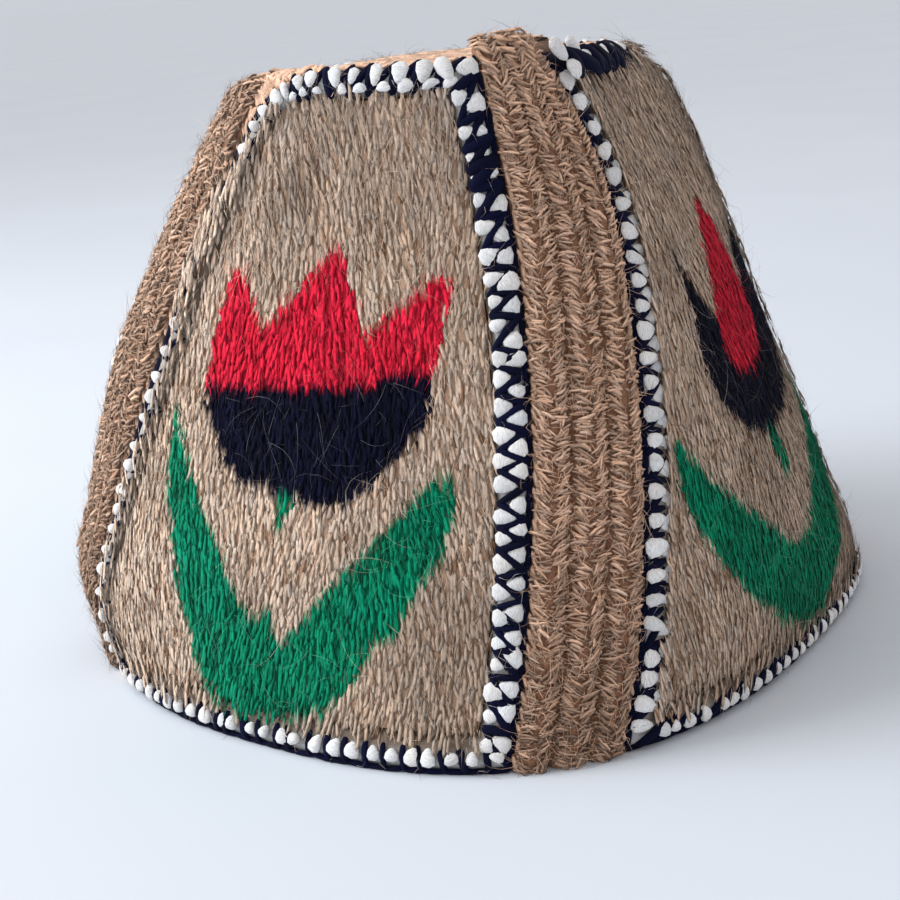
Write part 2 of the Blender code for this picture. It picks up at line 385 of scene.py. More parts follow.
def corner_lengths(corner):
    """How far along each looked-up outline a corner lies, counting whole turns."""
    heights = np.linspace(0, 1, FORM_ROWS + 1)
    swing = np.radians(CORNER_AT_RIM + (CORNER_AT_TOP - CORNER_AT_RIM) * heights)
    foot = LEFT_CORNER_FOOT * np.exp(-((heights / FOOT_REACH) ** 2))
    left_swing = np.radians(LEFT_CORNER_AT_RIM + (LEFT_CORNER_AT_TOP - LEFT_CORNER_AT_RIM) * heights + foot)
    laps, place = divmod(corner, SIDES)
    direction = (-left_swing, swing, math.pi - swing, math.pi + swing)[place] + laps * 2 * math.pi
    rounds, rest = np.divmod(direction + math.pi, 2 * math.pi)
    found = [np.interp(rest[i] - math.pi, TURN, LENGTHS[i]) for i in range(FORM_ROWS + 1)]
    return rounds * LENGTHS[:, -1] + np.array(found)


def look_up(grid, u, height):
    """Values between the points of a patch's grid, at shares across and heights."""
    row = np.clip(height / PATCH_REACH, 0, 1) * PATCH_ROWS
    column = np.clip(u, 0, 1) * PATCH_STEPS
    i = np.minimum(row.astype(int), PATCH_ROWS - 1)
    j = np.minimum(column.astype(int), PATCH_STEPS - 1)
    a = (row - i)[..., None]
    b = (column - j)[..., None]
    low = grid[i, j] * (1 - b) + grid[i, j + 1] * b
    high = grid[i + 1, j] * (1 - b) + grid[i + 1, j + 1] * b
    return low * (1 - a) + high * a


class Patch:
    """A stretch of the hat's wall between two running lengths, looked up by shares across and up.

    Above its starts, the wall rounds over the top and runs in over the crown.
    """

    def __init__(self, kind, side, starts, ends, top_starts):
        shares = np.linspace(0, 1, PATCH_STEPS + 1)
        widths = ends - starts
        wall = np.zeros((FORM_ROWS + 1, PATCH_STEPS + 1, 3))
        for i in range(FORM_ROWS + 1):
            along = (starts[i] + widths[i] * shares) % LENGTHS[i, -1]
            for axis in range(3):
                wall[i, :, axis] = np.interp(along, LENGTHS[i], OUTLINE[i, :, axis])
        wall += SHIFT
        _, up, out = grid_directions(wall)
        turn_over = HAT_HEIGHT + top_starts[0] + (top_starts[1] - top_starts[0]) * shares
        heights = np.linspace(0, PATCH_REACH, PATCH_ROWS + 1)[:, None]
        straight = np.minimum(heights, turn_over) / HAT_HEIGHT * FORM_ROWS
        low = np.minimum(straight.astype(int), FORM_ROWS - 1)
        share = (straight - low)[..., None]
        column = np.arange(PATCH_STEPS + 1)[None, :]
        place, rise, outward = (
            grid[low, column] * (1 - share) + grid[low + 1, column] * share for grid in (wall, up, out)
        )
        over = np.maximum(heights - turn_over, 0)
        bend = np.minimum(over / TOP_BEND, math.pi / 2)[..., None]
        inward = TOP_BEND * (1 - np.cos(bend)) + over[..., None] - TOP_BEND * bend
        self.points = place + rise * TOP_BEND * np.sin(bend) - outward * inward
        out = grid_directions(self.points)[2]
        puffed = np.zeros(over.shape)
        for item in PUFFS:
            if (item.kind, item.side) == (kind, side):
                aside = (shares - item.u) / item.reach_u
                above = (heights / HAT_HEIGHT - item.v) / item.reach_v
                puffed += item.height * np.exp(-(aside ** 2) - above ** 2)
        self.points = self.points + out * puffed[..., None]
        self.across, self.up, self.out = grid_directions(self.points)
        form_heights = np.linspace(0, HAT_HEIGHT, FORM_ROWS + 1)
        self.widths = np.interp(heights[:, 0], form_heights, widths)
        self.heights = heights[:, 0]
        self.reach = HAT_HEIGHT + sum(top_starts) / 2 + TOP_WRAP

    def width_at(self, height):
        return np.interp(height, self.heights, self.widths)

    def at(self, u, height, rise):
        """Places on the wall, raised outward, with their directions across, up and out."""
        u, height, rise = np.broadcast_arrays(np.asarray(u, float), height, rise)
        across = unit(look_up(self.across, u, height))
        out = unit(look_up(self.out, u, height))
        up = unit(np.cross(out, across))
        out = np.cross(across, up)
        return look_up(self.points, u, height) + out * rise[..., None], across, up, out


def mount_shift():
    """How far the frame was moved to stand over its origin, read from its rim mount on band_1."""
    direction = math.radians(CORNER_AT_RIM)
    along = np.interp(direction, TURN, LENGTHS[0])
    step = LENGTHS[0, -1] / FORM_STEPS
    here, before, after = (
        np.array([np.interp(along + d, LENGTHS[0], OUTLINE[0, :, axis]) for axis in range(3)])
        for d in (0.0, -step, step)
    )
    ahead = unit(after - before)
    inward = np.array([-ahead[1], ahead[0], 0.0])
    mounts = {mount["name"]: mount for mount in frame["record"]["mounts"]}
    return np.array(mounts["rim_rest"]["pos_m"]) - (here + inward * BAND_WALL / 2)


SHIFT = mount_shift()


def crowding(corner):
    """How far an edging crowds over the top of the band on its left, at every looked-up height."""
    share = np.clip((np.linspace(0, 1, FORM_ROWS + 1) - CROWD_START) / (1 - CROWD_START), 0, 1)
    return (CROWD if corner == 1 else 0.0) * share * share


def panel_patch(side):
    """The wall between two bands, which holds a panel and its edging."""
    margin = BAND_WIDTH / 2 + JOIN_GAP
    return Patch("panel", side, corner_lengths(side) + margin - crowding(side),
                 corner_lengths(side + 1) - margin, TOP_STARTS[side])


def band_patch(side):
    """The wall under a band, from one panel's edging to the next."""
    middle = corner_lengths(side + 1)
    return Patch("band", side, middle - BAND_WIDTH / 2, middle + BAND_WIDTH / 2 - crowding(side + 1),
                 BAND_STARTS[side])


# Joining many small shapes

class Template:
    """A small closed shape, as arrays to be copied many times: x across, y along, z out."""

    def __init__(self, bm):
        bmesh.ops.triangulate(bm, faces=bm.faces)
        bm.verts.ensure_lookup_table()
        self.points = np.array([vertex.co[:] for vertex in bm.verts])
        self.faces = np.array([[vertex.index for vertex in face.verts] for face in bm.faces])
        bm.free()


def strand(sides, rings, bluntness):
    """A strand of yarn, one unit wide and long along y, with a ridge outward and two closed ends."""
    bm = bmesh.new()
    bmesh.ops.create_uvsphere(bm, u_segments=sides, v_segments=rings, radius=0.5)
    for vertex in bm.verts:
        width = math.hypot(vertex.co.x, vertex.co.y)
        if width > 0:
            fuller = 0.5 * (2 * width) ** bluntness / width
            vertex.co.x *= fuller
            vertex.co.y *= fuller
    bmesh.ops.rotate(bm, verts=bm.verts, matrix=Matrix.Rotation(math.radians(-90), 3, "X"))
    bmesh.ops.rotate(bm, verts=bm.verts, matrix=Matrix.Rotation(math.radians(-90), 3, "Y"))
    bmesh.ops.recalc_face_normals(bm, faces=bm.faces)
    return Template(bm)


def puff():
    """A puffed triangle of yarn: its wide end at x 0.5, its narrow end at x -0.5."""
    bm = bmesh.new()
    bmesh.ops.create_uvsphere(bm, u_segments=9, v_segments=6, radius=0.5)
    for vertex in bm.verts:
        share = vertex.co.x + 0.5
        vertex.co.x = math.copysign(abs(2 * vertex.co.x) ** 0.85, vertex.co.x) / 2
        vertex.co.y *= 0.50 + 0.80 * share
    return Template(bm)


def fibre(segments):
    """A thin three-sided hair of unit length along y, with a radius of one that tapers to a point."""
    bm = bmesh.new()
    bmesh.ops.create_cone(bm, cap_ends=True, segments=3, radius1=1.0, radius2=0.0, depth=1.0)
    bmesh.ops.remove_doubles(bm, verts=bm.verts, dist=0.0001)
    bmesh.ops.rotate(bm, verts=bm.verts, matrix=Matrix.Rotation(math.radians(-90), 3, "X"))
    sides = [edge for edge in bm.edges if abs(edge.verts[0].co.y - edge.verts[1].co.y) > 0.5]
    bmesh.ops.subdivide_edges(bm, edges=sides, cuts=segments - 1, use_grid_fill=True)
    bmesh.ops.recalc_face_normals(bm, faces=bm.faces)
    return Template(bm)


class Heap:
    """Gathers copies of templates and bases into one mesh with its yarn colours and fibre coordinates."""

    def __init__(self):
        self.points, self.faces, self.tints, self.grains, self.lies = [], [], [], [], []
        self.count = 0

    def add(self, points, faces, tints, grains, lies=None):
        """Adds a mesh with its tints, its fibre coordinates and the outward directions of its wall."""
        self.points.append(points)
        self.faces.append(faces + self.count)
        self.tints.append(tints)
        self.grains.append(grains)
        self.lies.append(np.zeros(points.shape) if lies is None else lies)
        self.count += len(points)

    def copies(self, template, place, across, along, size, tint, arch=0.0, curl=None):
        """Copies a template to every place, along given directions, with sizes (across, along, out)."""
        number = len(place)
        local = template.points
        out = np.cross(across, along)
        size = np.broadcast_to(size, (number, 3))
        x, y, z = (local[None, :, axis] * size[:, axis:axis + 1] for axis in range(3))
        bow = 1 - 4 * local[None, :, 1] ** 2
        z = z + np.reshape(arch, (-1, 1)) * bow
        points = (
            place[:, None]
            + across[:, None] * x[..., None]
            + along[:, None] * y[..., None]
            + out[:, None] * z[..., None]
        )
        if curl is not None:
            points = points + curl[:, None] * bow[..., None]
        seeds = np.broadcast_to((np.arange(number) % 97 * 0.37)[:, None], x.shape)
        grains = np.stack([x, y, seeds], axis=2).reshape(-1, 3)
        tint = np.asarray(tint)
        if tint.ndim < 3:
            tint = np.broadcast_to(tint, (number, 3))[:, None]
        tints = np.broadcast_to(tint, points.shape).reshape(-1, 3)
        offsets = np.arange(number)[:, None, None] * len(local)
        faces = (template.faces[None] + offsets).reshape(-1, 3)
        lies = np.broadcast_to(out[:, None], points.shape).reshape(-1, 3)
        self.add(points.reshape(-1, 3), faces, tints, grains, lies)

    def finish(self, name, material, replaced):
        """Makes the object, at the origin, riding on the hat, in place of frame nodes."""
        points = np.concatenate(self.points)
        points[:, 2] = np.maximum(points[:, 2], 0.0)
        faces = np.concatenate(self.faces)
        mesh = bpy.data.meshes.new(name)
        mesh.vertices.add(len(points))
        mesh.vertices.foreach_set("co", points.astype(np.float32).ravel())
        mesh.loops.add(faces.size)
        mesh.loops.foreach_set("vertex_index", faces.astype(np.int32).ravel())
        mesh.polygons.add(len(faces))
        mesh.polygons.foreach_set("loop_start", np.arange(0, faces.size, 3, dtype=np.int32))
        mesh.polygons.foreach_set("use_smooth", np.ones(len(faces), bool))
        mesh.update(calc_edges=True)
        tints = mesh.attributes.new("tint", "FLOAT_COLOR", "POINT")
        colours = np.concatenate(self.tints)
        colours = colours / np.maximum(colours.max(axis=1, keepdims=True), 1.0)
        colours = np.hstack([colours, np.ones((len(points), 1))])
        tints.data.foreach_set("color", np.clip(colours, 0, 1).astype(np.float32).ravel())
        for label, vectors in (("grain", self.grains), ("lie", self.lies)):
            attribute = mesh.attributes.new(label, "FLOAT_VECTOR", "POINT")
            attribute.data.foreach_set("vector", np.concatenate(vectors).astype(np.float32).ravel())
        mesh.materials.append(material)
        item = bpy.data.objects.new(name, mesh)
        bpy.context.scene.collection.objects.link(item)
        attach(item, "root")
        if replaced:
            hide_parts(*replaced)
        return item


def turned(across, along, angle):
    """The two directions turned about the outward one, by angles in radians."""
    c, s = np.cos(angle)[:, None], np.sin(angle)[:, None]
    return across * c + along * s, along * c - across * s


def slab(columns, rows):
    """A flat slab of shares 0 to 1 across and up, with an outer layer at z 1 and an inner at z 0."""
    bm = bmesh.new()
    bmesh.ops.create_grid(bm, x_segments=columns, y_segments=rows, size=0.5)
    bmesh.ops.translate(bm, verts=bm.verts, vec=(0.5, 0.5, 0.0))
    outer = bmesh.ops.extrude_face_region(bm, geom=bm.faces[:], use_keep_orig=True)["geom"]
    moved = [item for item in outer if isinstance(item, bmesh.types.BMVert)]
    bmesh.ops.translate(bm, verts=moved, vec=(0.0, 0.0, 1.0))
    bmesh.ops.recalc_face_normals(bm, faces=bm.faces)
    return Template(bm)


def sizes(rng, number, *rows):
    """Sizes across, along and out: each a size alone, or with the range of its random factor."""
    return np.stack(
        [row[0] * rng.uniform(*row[1:], number) if row[1:] else np.full(number, row[0])
         for row in rows],
        axis=1)


def shades(rng, number, spread, warmth=0.025):
    """Factors that make copies of a colour a little lighter, darker or warmer."""
    shade = np.exp(rng.normal(0, spread, (number, 1)))
    warm = rng.normal(0, warmth, (number, 1))
    return shade * np.hstack([1 + warm, np.ones((number, 1)), 1 - warm])


def varied(rng, colour, number, spread, warmth=0.025):
    """Copies of a colour, each a little lighter, darker or warmer."""
    return np.array(colour) * shades(rng, number, spread, warmth)


def inside(u, v, outline):
    """Which points lie inside an outline, by counting the edges crossed."""
    crossed = np.zeros(u.shape, bool)
    for (x0, y0), (x1, y1) in zip(outline, outline[1:] + outline[:1]):
        if y0 != y1:
            between = (y0 > v) != (y1 > v)
            crossed ^= between & (u < (x1 - x0) * (v - y0) / (y1 - y0) + x0)
    return crossed


def mottled(side, u, v):
    """Factors of slow, uneven changes of shade over a panel."""
    wave = np.sin(2 * math.pi * (3.1 * u + 1.3 * v) + side)
    wave = wave + np.sin(2 * math.pi * (1.7 * u - 4.3 * v) + 2 * side)
    wave = wave + np.sin(2 * math.pi * (6.3 * u + 5.1 * v + 0.1 * wave) + 3 * side)
    return 1 + MOTTLE * wave


def dye_at(side, u, v):
    """The colours of a panel's wool at places, and which of the places are dyed."""
    palette = settings()
    uneven = mottled(side, u, v)
    shade = uneven
    # Uneven tone with painted light and shade: undyed wool lighter on the lit left, darker on the right
    for tone_and_light in TONES_AND_LIGHT:
        if tone_and_light.side == side:
            near = np.exp(-((u - tone_and_light.u) ** 2 + (v - tone_and_light.v) ** 2) / tone_and_light.reach ** 2)
            shade = shade * (1 + (tone_and_light.shade - 1) * near)
    colours = shade[..., None] * np.array(palette.tan)
    covered = np.zeros(u.shape, bool)
    for shape in (OPEN_TULIP, CLOSED_TULIP)[side % 2]:
        hit = inside(u, v, [(x / 1000, y / 1000) for x, y in shape.outline])
        colours[hit] = uneven[hit][:, None] * np.array(getattr(palette, shape.dye))
        covered |= hit
    return colours, covered


def sway(side, u, v):
    """A slow drift of the pile's direction over a panel, in radians."""
    wave = 2 * math.pi * (1.1 * u + 0.8 * v) + side
    ripple = 2 * math.pi * (2.3 * u - 1.7 * v) + 2 * side
    return 0.11 * np.sin(wave) + 0.08 * np.sin(ripple)


# Materials

def wire(tree, rows, links, **known):
    """Adds nodes from rows of name, type, choices and input values, and links their sockets by name."""
    for name, kind, choices, values in rows:
        node = known[name] = tree.nodes.new(kind)
        for key, value in choices.items():
            setattr(node, key, value)
        set_inputs(node, values)
    for start, output, end, entry in links:
        tree.links.new(known[start].outputs[output], known[end].inputs[entry])
    return known


def set_inputs(node, values):
    for key, value in values.items():
        node.inputs[key].default_value = value


def fibre_group():
    """A node group that turns fibre coordinates into streaks of shade and height."""
    group = bpy.data.node_groups.get("Wool Fibre")
    if group:
        return group
    group = bpy.data.node_groups.new("Wool Fibre", "ShaderNodeTree")
    for name, direction, kind in (("Grain", "INPUT", "Vector"), ("Darkest", "INPUT", "Float"),
                                  ("Shade", "OUTPUT", "Float"), ("Height", "OUTPUT", "Float")):
        group.interface.new_socket(name, in_out=direction, socket_type="NodeSocket" + kind)
    wire(group, (
        ("source", "NodeGroupInput", {}, {}),
        ("sink", "NodeGroupOutput", {}, {}),
        ("stretch", "ShaderNodeMapping", {}, {"Scale": (5200, 900, 40)}),
        ("noise", "ShaderNodeTexNoise", {}, {"Scale": 1.0, "Detail": 3.0, "Roughness": 0.65}),
        ("span", "ShaderNodeMapRange", {}, {"From Min": 0.32, "From Max": 0.68, "To Max": 1.25}),
    ), (
        ("source", "Grain", "stretch", "Vector"),
        ("stretch", "Vector", "noise", "Vector"),
        ("noise", "Fac", "span", "Value"),
        ("source", "Darkest", "span", "To Min"),
        ("span", "Result", "sink", "Shade"),
        ("noise", "Fac", "sink", "Height"),
    ))
    return group


def yarn_material(name, darkest, bump, sheen, evenness):
    """Matt wool whose colour comes from each strand's own tint, streaked along its fibres.

    Its shading is evened out towards the wall that it lies on, as light spreads in wool.
    """
    found = bpy.data.materials.get(name)
    if found:
        return found
    material = bpy.data.materials.new(name)
    material.use_nodes = True
    shader = material.node_tree.nodes["Principled BSDF"]
    set_inputs(shader, {"Roughness": 0.92, "Specular IOR Level": 0.15, "Sheen Weight": sheen,
                        "Sheen Roughness": 0.45})
    wire(material.node_tree, (
        ("tint", "ShaderNodeAttribute", {"attribute_name": "tint"}, {}),
        ("grain", "ShaderNodeAttribute", {"attribute_name": "grain"}, {}),
        ("lie", "ShaderNodeAttribute", {"attribute_name": "lie"}, {}),
        ("surface", "ShaderNodeNewGeometry", {}, {}),
        ("streaks", "ShaderNodeGroup", {"node_tree": fibre_group()}, {"Darkest": darkest}),
        ("mix", "ShaderNodeMix", {"data_type": "RGBA", "blend_type": "MULTIPLY"}, {"Factor": 1.0}),
        ("even", "ShaderNodeMix", {"data_type": "VECTOR"}, {"Factor": evenness}),
        ("level", "ShaderNodeVectorMath", {"operation": "NORMALIZE"}, {}),
        ("relief", "ShaderNodeBump", {}, {"Strength": bump, "Distance": 0.0002}),
    ), (
        ("surface", "Normal", "even", "A"),
        ("lie", "Vector", "even", "B"),
        ("even", "Result", "level", "Vector"),
        ("level", "Vector", "relief", "Normal"),
        ("grain", "Vector", "streaks", "Grain"),
        ("tint", "Color", "mix", "A"),
        ("streaks", "Shade", "mix", "B"),
        ("mix", "Result", "shader", "Base Color"),
        ("streaks", "Height", "relief", "Height"),
        ("relief", "Normal", "shader", "Normal"),
    ), shader=shader)
    return material


def strand_wool():
    return yarn_material("strand wool", 0.70, 0.5, 0.06, 0.86)


def whip_yarn():
    return yarn_material("whip yarn", 0.78, 0.5, 0.03, 0.30)


# Pieces

def base(heap, patch, columns, rows, place, tint_of):
    """A wall under the strands, from a slab whose shares are placed by a function."""
    flat = slab(columns, rows)
    u, v, layer = flat.points.T
    across, height, rise = place(u, v, layer)
    points = patch.at(across, height, rise)[0]
    grain = np.stack([across * patch.width_at(height), height, layer], axis=1)
    heap.add(points, flat.faces, tint_of(across, height / HAT_HEIGHT), grain)


def frame_inset(patch, across, height, corners):
    """How far places lie in from a panel's framed outline, whose corners are rounded."""
    left = across
    right = patch.width_at(height) - across
    rim = height
    top = patch.reach - height
    inset = np.minimum(np.minimum(left, right), np.minimum(rim, top))
    for radius, aside, above in (
        (corners.rim_left, left, rim), (corners.rim_right, right, rim),
        (corners.top_right, right, top), (corners.top_left, left, top),
    ):
        near = (aside < radius) & (above < radius)
        inset = np.where(near, radius - np.hypot(radius - aside, radius - above), inset)
    return inset


def pile_depth(patch, side, across, height):
    """How far places lie inside the pile's edge, and how far over the edging, in metres."""
    over = OVERHANGS[side]
    inset = frame_inset(patch, across, height, CORNERS[side])
    width = patch.width_at(height)
    aside = np.minimum(across, width - across) < np.minimum(height, patch.reach - height)
    reach = np.where(height < HAT_HEIGHT / 2, over.rim, over.top)
    reach = np.where(aside, np.where(across < width / 2, over.left, over.right), reach)
    for fold in FOLDS:
        if fold.side == side:
            beside = (across / width - fold.u) / fold.reach_u
            above = (height / HAT_HEIGHT - fold.v) / fold.reach_v
            reach = reach + fold.extra * np.exp(-(beside ** 4) - above ** 4)
    return inset - (EDGING_WIDTH - reach), np.clip(EDGING_WIDTH - inset, 0, EDGING_WIDTH)


def pile_lift(over):
    """How far the pile rises where it lies over the edging by some depth."""
    return PILE_RISE * np.clip(over / PILE_RAMP, 0, 1)


def hairs(heap, rng, spots, tints, kind):
    """Loose curling fibres that stand on places on a wall, tilted off it."""
    place, across, up, out = spots
    number = len(place)
    turn = rng.normal(0, kind.spread, number) + math.pi * rng.integers(0, 2, number)
    side, along = turned(across, up, turn)
    reach = kind.length * rng.uniform(0.5, 1.5, number)
    along = unit(along + out * (kind.tilt * np.abs(rng.normal(0, 1, number)))[:, None])
    curl = (side * rng.normal(0, 0.18, number)[:, None] + out * (kind.tilt * 0.15)) * reach[:, None]
    radius = settings().hair_radius * kind.thickness * rng.uniform(0.6, 1.4, number)
    size = np.stack([radius, reach, radius], axis=1)
    middle = place + along * reach[:, None] / 2
    heap.copies(fibre(kind.segments), middle, side, along, size, tints, curl=curl)


def make_panel(side):
    """A panel's wall, its strands and its loose fibres."""
    palette = settings()
    rng = np.random.default_rng(PANEL_SEED + side)
    patch = panel_patch(side)
    margin = EDGING_WIDTH + JOIN_GAP
    heap = Heap()

    def place(u, v, layer):
        height = margin + (patch.reach - 2 * margin) * v
        width = patch.width_at(height)
        across = (margin + (width - 2 * margin) * u) / width
        return across, height, layer * (PANEL_WALL - UNDER_SINK) - PANEL_WALL

    # Painted shade: the wall under the strands is darkened, for the shade between them
    def tint(u, v):
        colours, covered = dye_at(side, u, v)
        return colours * np.where(covered[:, None], UNDER_DYE_SHADE, UNDER_TAN_SHADE)

    base(heap, patch, 36, 40, place, tint)
    across, heights = [], []
    for row in range(int(patch.reach / palette.row_pitch * 2)):
        height = (row + 0.5) * palette.row_pitch / 2
        width = float(patch.width_at(height))
        columns = int(width / palette.strand_pitch / 2)
        across.append((np.arange(columns) + 0.25 + 0.5 * (row % 2)) / columns * width)
        heights.append(np.full(columns, height))
    across, height = np.concatenate(across), np.concatenate(heights)
    across = across + rng.normal(0, 0.00025, len(across))
    height = height + rng.normal(0, 0.0006, len(height))
    depth, over = pile_depth(patch, side, across, height)
    keep = depth > rng.normal(0, 0.0003, len(depth))
    across, height, over = across[keep], height[keep], over[keep]
    u, v = across / patch.width_at(height), height / HAT_HEIGHT
    number = len(u)
    lift = pile_lift(over)
    spot, x, y, out = patch.at(u, height, lift + rng.uniform(-0.00025, 0.00015, number))
    lean = sway(side, u, v) + rng.normal(0, 0.14, number)
    x, y = turned(x, y, lean)
    y = unit(y + out * rng.normal(0.01, 0.035, number)[:, None])
    size = sizes(rng, number, (palette.strand_width, 0.7, 1.3), (palette.strand_length, 0.75, 1.3),
                 (palette.strand_width, 0.20, 0.36))
    slanted = (across / 0.004 + height / 0.013).astype(int)
    crossing = (height / 0.006 + across / 0.017).astype(int)
    clump = shades(rng, CLUMPS, 0.07, 0.02)[(slanted * 31 + crossing) % CLUMPS]
    # Painted shade: some strands are darkened and shrunk for the shaded hollows between tufts, more of them
    # in darker clumps
    gap_shade = rng.random(number) < GAP_SHADE_SHARE * np.where(clump[:, 0] < 1, 1.7, 0.6)
    size[gap_shade] *= GAP_SHADE_SIZE
    tuft = strand(3, 3, 1.1)
    run = tuft.points[None, :, 1] * size[:, 1:2]
    stray = rng.normal(0, 0.00035, (2, number, 1))
    aside = (across[:, None] - run * np.sin(lean)[:, None] + stray[0]) / patch.width_at(height)[:, None]
    above = (height[:, None] + run * np.cos(lean)[:, None] + stray[1]) / HAT_HEIGHT
    colours, covered = dye_at(side, aside, above)
    colours = colours * (shades(rng, number, 0.08, 0.03) * clump)[:, None]
    dark = np.where(covered[..., None], GAP_SHADE_DYE, GAP_SHADE_TAN)
    colours = np.where(gap_shade[:, None, None], colours * dark, colours)
    bend = x * rng.normal(0, 0.0003, number)[:, None]
    heap.copies(tuft, spot, x, y, size, colours, arch=0.0001, curl=bend)
    heap.finish(f"panel_{side + 1}_knit", strand_wool(), [f"panel_{side + 1}"])

    fuzz = Heap()
    for kind in PANEL_HAIRS:
        number = getattr(palette, kind.count)
        height = rng.uniform(0.002, patch.reach - 0.002, number)
        width = patch.width_at(height)
        across = rng.uniform(0.0, 1.0, number) * width
        depth, over = pile_depth(patch, side, across, height)
        keep = depth > 0
        u, height, over = (across / width)[keep], height[keep], over[keep]
        # Hair tints are lighter than the wool below: partly painted highlight of fibres catching the light,
        # partly paler stray fibres
        tints = dye_at(side, u, height / HAT_HEIGHT)[0] * shades(rng, len(u), 0.2) * 1.15 + kind.pale
        hairs(fuzz, rng, patch.at(u, height, 0.0003 + pile_lift(over)), tints, kind)
    fuzz.finish(f"panel_{side + 1}_fuzz", strand_wool(), [])


def along_side(share, length, inset, before, after):
    """Places along one side of a frame whose two corners are rounded: along it, and in from it."""
    run = share * length
    first, last = max(before, inset), max(after, inset)
    straight = first + (run - before) / (length - before - after) * (length - first - last)
    if not before and not after:
        straight = inset + share * (length - 2 * inset)
    along, inward = straight, np.full(len(share), inset)
    for radius, reverse in ((before, False), (after, True)):
        if radius:
            distance = length - run if reverse else run
            angle = math.pi / 4 * (1 - distance / radius)
            near = distance < radius
            corner = radius - (radius - inset) * np.sin(angle)
            along = np.where(near, length - corner if reverse else corner, along)
            inward = np.where(near, radius - (radius - inset) * np.cos(angle), inward)
    return along, inward


class Frame:
    """The path of a panel's edging: 0 to 1 along the rim, then up the right, back along the top, down."""

    def __init__(self, patch, corners):
        self.patch = patch
        self.corners = corners
        self.lengths = (float(patch.width_at(0.0)), patch.reach, float(patch.width_at(patch.reach)),
                        patch.reach)

    def shares(self, t, inset):
        t = t % SIDES
        u, height = np.zeros(len(t)), np.zeros(len(t))
        radii = self.corners
        for place in range(SIDES):
            here = (t >= place) & (t < place + 1)
            along, inward = along_side(t[here] - place, self.lengths[place], inset,
                                       radii[place], radii[(place + 1) % SIDES])
            if place == 0:
                up = inward
                across = along / self.lengths[0] * self.patch.width_at(up)
            elif place == 1:
                up = along
                across = self.patch.width_at(up) - inward
            elif place == 2:
                up = self.patch.reach - inward
                across = (1 - along / self.lengths[2]) * self.patch.width_at(up)
            else:
                up = self.patch.reach - along
                across = inward
            u[here] = across / self.patch.width_at(up)
            height[here] = up
        return u, height

    def at(self, t, inset, rise):
        """Places on the frame, with directions along it, away from the panel, and out."""
        u, height = self.shares(t, inset)
        place, _, _, out = self.patch.at(u, height, rise)
        before, after = (self.patch.at(*self.shares(t + d, inset), rise)[0] for d in (-0.004, 0.004))
        along = after - before
        along = unit(along - out * np.sum(along * out, axis=1, keepdims=True))
        return place, along, np.cross(along, out), out


def roll(heap, frame_path, steps, sides, place, tint_of):
    """A closed roll round a frame; the inset and the rise come from each point's angle."""
    bpy.ops.mesh.primitive_torus_add(major_segments=4 * steps, minor_segments=sides)
    ring = bpy.context.object
    bm = bmesh.new()
    bm.from_mesh(ring.data)
    bpy.data.objects.remove(ring)
    shape = Template(bm)
    step, lane = np.divmod(np.arange(4 * steps * sides), sides)
    points, tints = np.zeros((2, len(step), 3))
    for i in range(sides):
        inset, rise = place(2 * math.pi * (i + 0.5) / sides)
        here = lane == i
        points[here] = frame_path.at(step[here] / steps, inset, rise)[0]
        tints[here] = tint_of(*frame_path.shares(step[here] / steps, inset))
    grain = np.stack([lane * 0.002, step * 0.002, lane * 0.0], axis=1)
    heap.add(points, shape.faces, tints, grain)


def stitch_whites(heap, rng, path, depth_at, place, row, whites, facing, middle, tight):
    """A row of white stitches along a side, pointing inward or outward, where no pile covers them."""
    t = place + (middle + whites.shift) / len(middle)
    pitch = path.lengths[place] / len(middle)
    inset = EDGING_WIDTH * whites.lane
    depth = depth_at(*path.shares(t, inset))
    seen = depth < WHITES_HIDDEN
    sunk = np.where(depth > WHITES_SINK, row.sink, 0.0) - row.proud
    rise = EDGING_RISE + 0.0001 - sunk + corner_lift(row, t)
    spot, along, away, _ = (item[seen] for item in path.at(t, inset, rise))
    number = len(spot)
    x, y = turned(away * facing, along * facing, rng.normal(0.10, 0.24, number))
    fewer = row.taper * (t[seen] - place) + 0.45 * tight[seen] + row.shrink
    size = sizes(rng, number, (EDGING_WIDTH * whites.deep, 0.72, 1.20), (pitch * whites.wide, 0.72, 1.20),
                 (0.0022, 0.85, 1.2)) * (1 - fewer)[:, None]
    heap.copies(puff(), spot, x, y, size, varied(rng, settings().white, number, 0.06, 0.01))


def corner_lift(row, t):
    """How far the cords and whites stand up near the end of a lifted row."""
    return row.lift * np.exp(-(((3.0 - t) / LIFT_REACH) ** 2))


